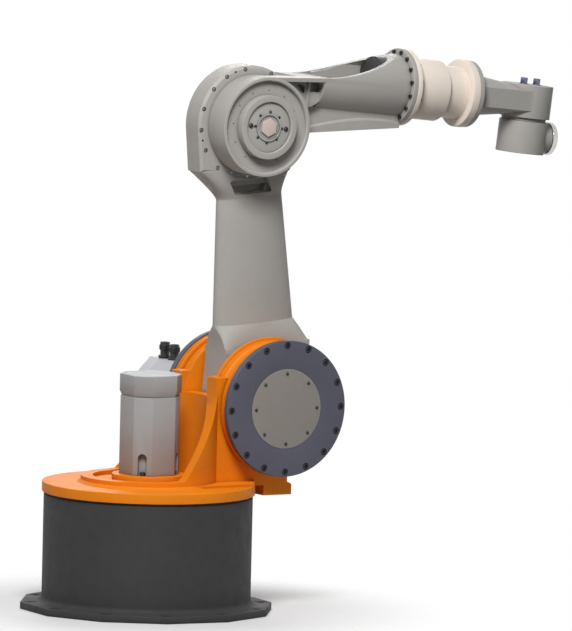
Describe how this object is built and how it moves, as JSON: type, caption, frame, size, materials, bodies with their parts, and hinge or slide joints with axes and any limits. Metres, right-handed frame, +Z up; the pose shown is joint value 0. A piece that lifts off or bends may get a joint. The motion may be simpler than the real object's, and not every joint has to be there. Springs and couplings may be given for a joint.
{
  "type": "six-axis robot arm",
  "caption": "Floor-standing articulated industrial robot arm: round base, orange turning carousel, grey link arm, forearm with cream wrist tube, hinged wrist and tool flange.",
  "frame": {"origin": "centre of the foot's underside, on the A1 axis", "axes": "+X is the way the arm reaches at rest, +Y is the side that carries the A2 motor, +Z is up"},
  "size_m": [2.3546, 1.2306, 2.2159],
  "materials": {
    "base_grey": "dark grey satin paint over a casting",
    "orange": "orange satin paint",
    "slate": "slate blue-grey satin paint",
    "cover": "warm grey satin paint",
    "casting": "warm grey satin paint",
    "cream": "cream satin paint",
    "lock_hex": "pale pinkish paint",
    "motor_grey": "grey satin paint",
    "motor_light": "light grey satin paint",
    "connector": "black moulded plastic",
    "steel": "machined steel",
    "seal": "black rubber"
  },
  "bodies": {
    "base": {"base_casting": "base_grey", "base_seal_ring": "seal", "a1_bearing_outer_ring": "steel", "a1_gearbox": "steel"},
    "carousel": {"carousel_casting": "orange", "a1_bearing_inner_ring": "steel", "a1_output_flange": "steel", "a1_motor_flange": "motor_grey", "a1_motor_body": "motor_grey", "a1_motor_cap": "motor_grey", "a1_pinion_shaft": "steel", "a2_gearbox_near": "steel", "a2_gearbox_far": "steel", "a2_gear_flange_near": "slate", "a2_gear_flange_far": "slate", "a2_cover_plate": "cover", "a2_motor_adapter": "motor_light", "a2_motor_body": "motor_light", "a2_motor_cap": "motor_light", "a2_power_connector": "connector", "a2_signal_connector": "connector"},
    "link": {"link_arm": "casting", "a2_output_flange_near": "steel", "a2_output_flange_far": "steel", "a3_gearbox": "steel", "a3_motor_adapter": "casting", "a3_motor": "motor_grey"},
    "forearm": {"forearm_casting": "casting", "a3_output_shaft": "steel", "a3_hub_boss": "casting", "a3_hub_cover": "casting", "a3_lock_ring": "steel", "a3_lock_hex": "lock_hex", "forearm_front_flange": "casting", "a4_gearbox": "steel"},
    "wrist_tube": {"a4_output_flange": "steel", "wrist_rear_flange": "cream", "wrist_tube": "cream", "a5_drive_tube": "steel", "a6_drive_shaft": "steel", "wrist_arm": "casting", "wrist_bolt_rear": "steel", "wrist_bolt_front": "steel"},
    "wrist_block": {"a5_pivot_shaft": "steel", "a5_neck_ring": "casting", "wrist_block": "casting"},
    "tool": {"tool_flange": "steel", "a6_output_shaft": "steel"}
  },
  "joints": [
    {"name": "a1_turn", "type": "hinge", "parent": "base", "child": "carousel", "pos_m": [0, 0, 0.46], "axis": [0, 0, 1], "range_deg": [-185, 185]},
    {"name": "a2_shoulder", "type": "hinge", "parent": "carousel", "child": "link", "pos_m": [0.485, 0, 0.812], "axis": [0, 1, 0], "range_deg": [-11, 75]},
    {"name": "a3_elbow", "type": "hinge", "parent": "link", "child": "forearm", "pos_m": [0.40421, 0, 1.93911], "axis": [0, 1, 0], "range_deg": [-150, 30]},
    {"name": "a4_forearm_roll", "type": "hinge", "parent": "forearm", "child": "wrist_tube", "pos_m": [0.4286, 0, 2.14366], "axis": [0.993, 0, -0.1184], "range_deg": [-350, 350]},
    {"name": "a5_wrist_swing", "type": "hinge", "parent": "wrist_tube", "child": "wrist_block", "pos_m": [1.72839, 0, 1.98867], "axis": [0.1184, 0, 0.993], "range_deg": [-120, 120]},
    {"name": "a6_tool_roll", "type": "hinge", "parent": "wrist_block", "child": "tool", "pos_m": [1.7111, 0, 1.8437], "axis": [0.993, 0, -0.1184], "range_deg": [-350, 350]}
  ]
}
